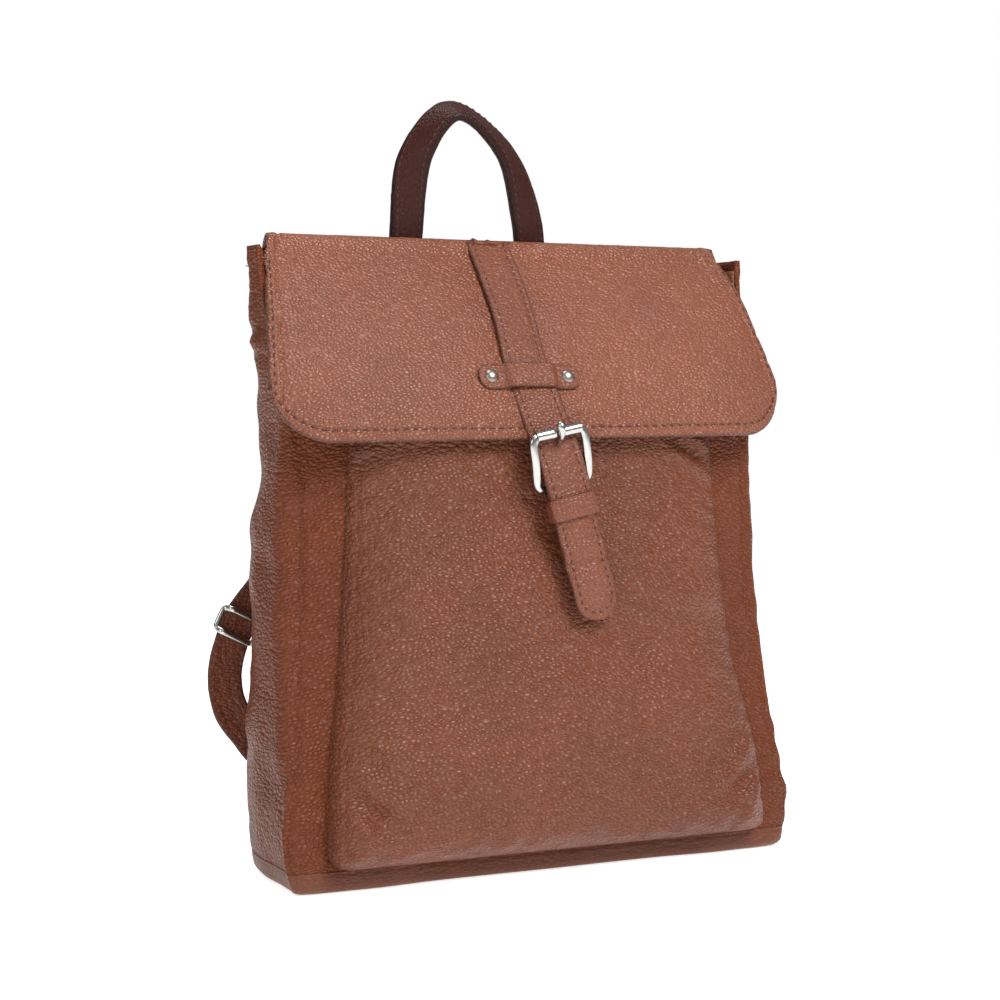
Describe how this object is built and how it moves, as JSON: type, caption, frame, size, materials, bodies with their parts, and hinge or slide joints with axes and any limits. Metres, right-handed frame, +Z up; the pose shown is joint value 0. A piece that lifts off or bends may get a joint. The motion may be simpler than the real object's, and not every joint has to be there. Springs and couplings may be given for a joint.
{
  "type": "leather backpack",
  "caption": "Leather flap backpack with a buckled closing strap, patch front pocket, top carrying handle and adjustable shoulder straps.",
  "frame": {"origin": "middle of the flat base, on the surface the bag stands on", "axes": "+X to the right seen from the front, +Y towards the back, +Z up; the flap and buckle face -Y"},
  "size_m": [0.318, 0.1202, 0.4137],
  "materials": {
    "shell_leather": "pebbled, semi-matt",
    "flap_leather": "fine pebbled, soft sheen",
    "strap_leather": "fine grain, painted edges",
    "handle_leather": "fine grain, painted edges",
    "facing_leather": "smooth",
    "lining_cloth": "woven twill",
    "stiffener": "matt",
    "polished_nickel": "polished",
    "aged_nickel": "aged, soft polish"
  },
  "bodies": {
    "bag": {"back_panel": "shell_leather", "front_panel": "shell_leather", "side_panel_left": "shell_leather", "side_panel_right": "shell_leather", "bottom_panel": "shell_leather", "base_board": "stiffener", "lining": "lining_cloth", "mouth_facing": "facing_leather", "front_pocket": "shell_leather", "snap_socket": "aged_nickel", "back_yoke": "shell_leather", "strap_tab_left": "shell_leather", "strap_tab_right": "shell_leather"},
    "flap": {"flap": "flap_leather", "flap_lining": "lining_cloth", "flap_strap": "strap_leather", "keeper_bridge": "strap_leather", "bridge_rivets": "aged_nickel", "buckle_chape": "strap_leather", "keeper_loop": "strap_leather", "snap_stud": "aged_nickel"},
    "buckle": {"buckle_frame": "polished_nickel"},
    "roller_left": {"buckle_roller_left": "polished_nickel"},
    "roller_right": {"buckle_roller_right": "polished_nickel"},
    "prong": {"buckle_prong": "polished_nickel"},
    "handle": {"handle": "handle_leather"},
    "left_strap": {"shoulder_strap_left": "strap_leather", "adjuster_strap_left": "strap_leather"},
    "right_strap": {"shoulder_strap_right": "strap_leather", "adjuster_strap_right": "strap_leather"},
    "left_slider": {"slider_left": "polished_nickel"},
    "right_slider": {"slider_right": "polished_nickel"}
  },
  "joints": [
    {"name": "flap_hinge", "type": "hinge", "parent": "bag", "child": "flap", "pos_m": [0, 0.02491, 0.33314], "axis": [-1, 0, 0], "range_deg": [0, 120]},
    {"name": "handle_tilt", "type": "hinge", "parent": "bag", "child": "handle", "pos_m": [0, 0.0417, 0.324], "axis": [-1, 0, 0], "range_deg": [0, 80]},
    {"name": "left_strap_swing", "type": "hinge", "parent": "bag", "child": "left_strap", "pos_m": [-0.038, 0.0391, 0.304], "axis": [-0.2784, 0, -0.9605], "range_deg": [0, 50]},
    {"name": "right_strap_swing", "type": "hinge", "parent": "bag", "child": "right_strap", "pos_m": [0.038, 0.0391, 0.304], "axis": [-0.2784, 0, 0.9605], "range_deg": [0, 50]},
    {"name": "left_slider_slide", "type": "slide", "parent": "left_strap", "child": "left_slider", "axis": [0.1763, 0, 0.9843], "range_m": [-0.02, 0.02]},
    {"name": "right_slider_slide", "type": "slide", "parent": "right_strap", "child": "right_slider", "axis": [-0.1763, 0, 0.9843], "range_m": [-0.02, 0.02]},
    {"name": "buckle_tip", "type": "hinge", "parent": "flap", "child": "buckle", "pos_m": [0.00377, -0.0476, 0.20432], "axis": [0.9816, 0.0354, 0.1875], "range_deg": [0, 6]},
    {"name": "prong_lift", "type": "hinge", "parent": "buckle", "child": "prong", "pos_m": [0.00377, -0.0476, 0.20432], "axis": [0.9816, 0.0354, 0.1875], "range_deg": [0, 4]},
    {"name": "roller_left_spin", "type": "hinge", "parent": "buckle", "child": "roller_left", "pos_m": [-0.00138, -0.05192, 0.23211], "axis": [0.9816, 0.0354, 0.1875], "continuous": true},
    {"name": "roller_right_spin", "type": "hinge", "parent": "buckle", "child": "roller_right", "pos_m": [-0.00138, -0.05192, 0.23211], "axis": [0.9816, 0.0354, 0.1875], "continuous": true}
  ]
}
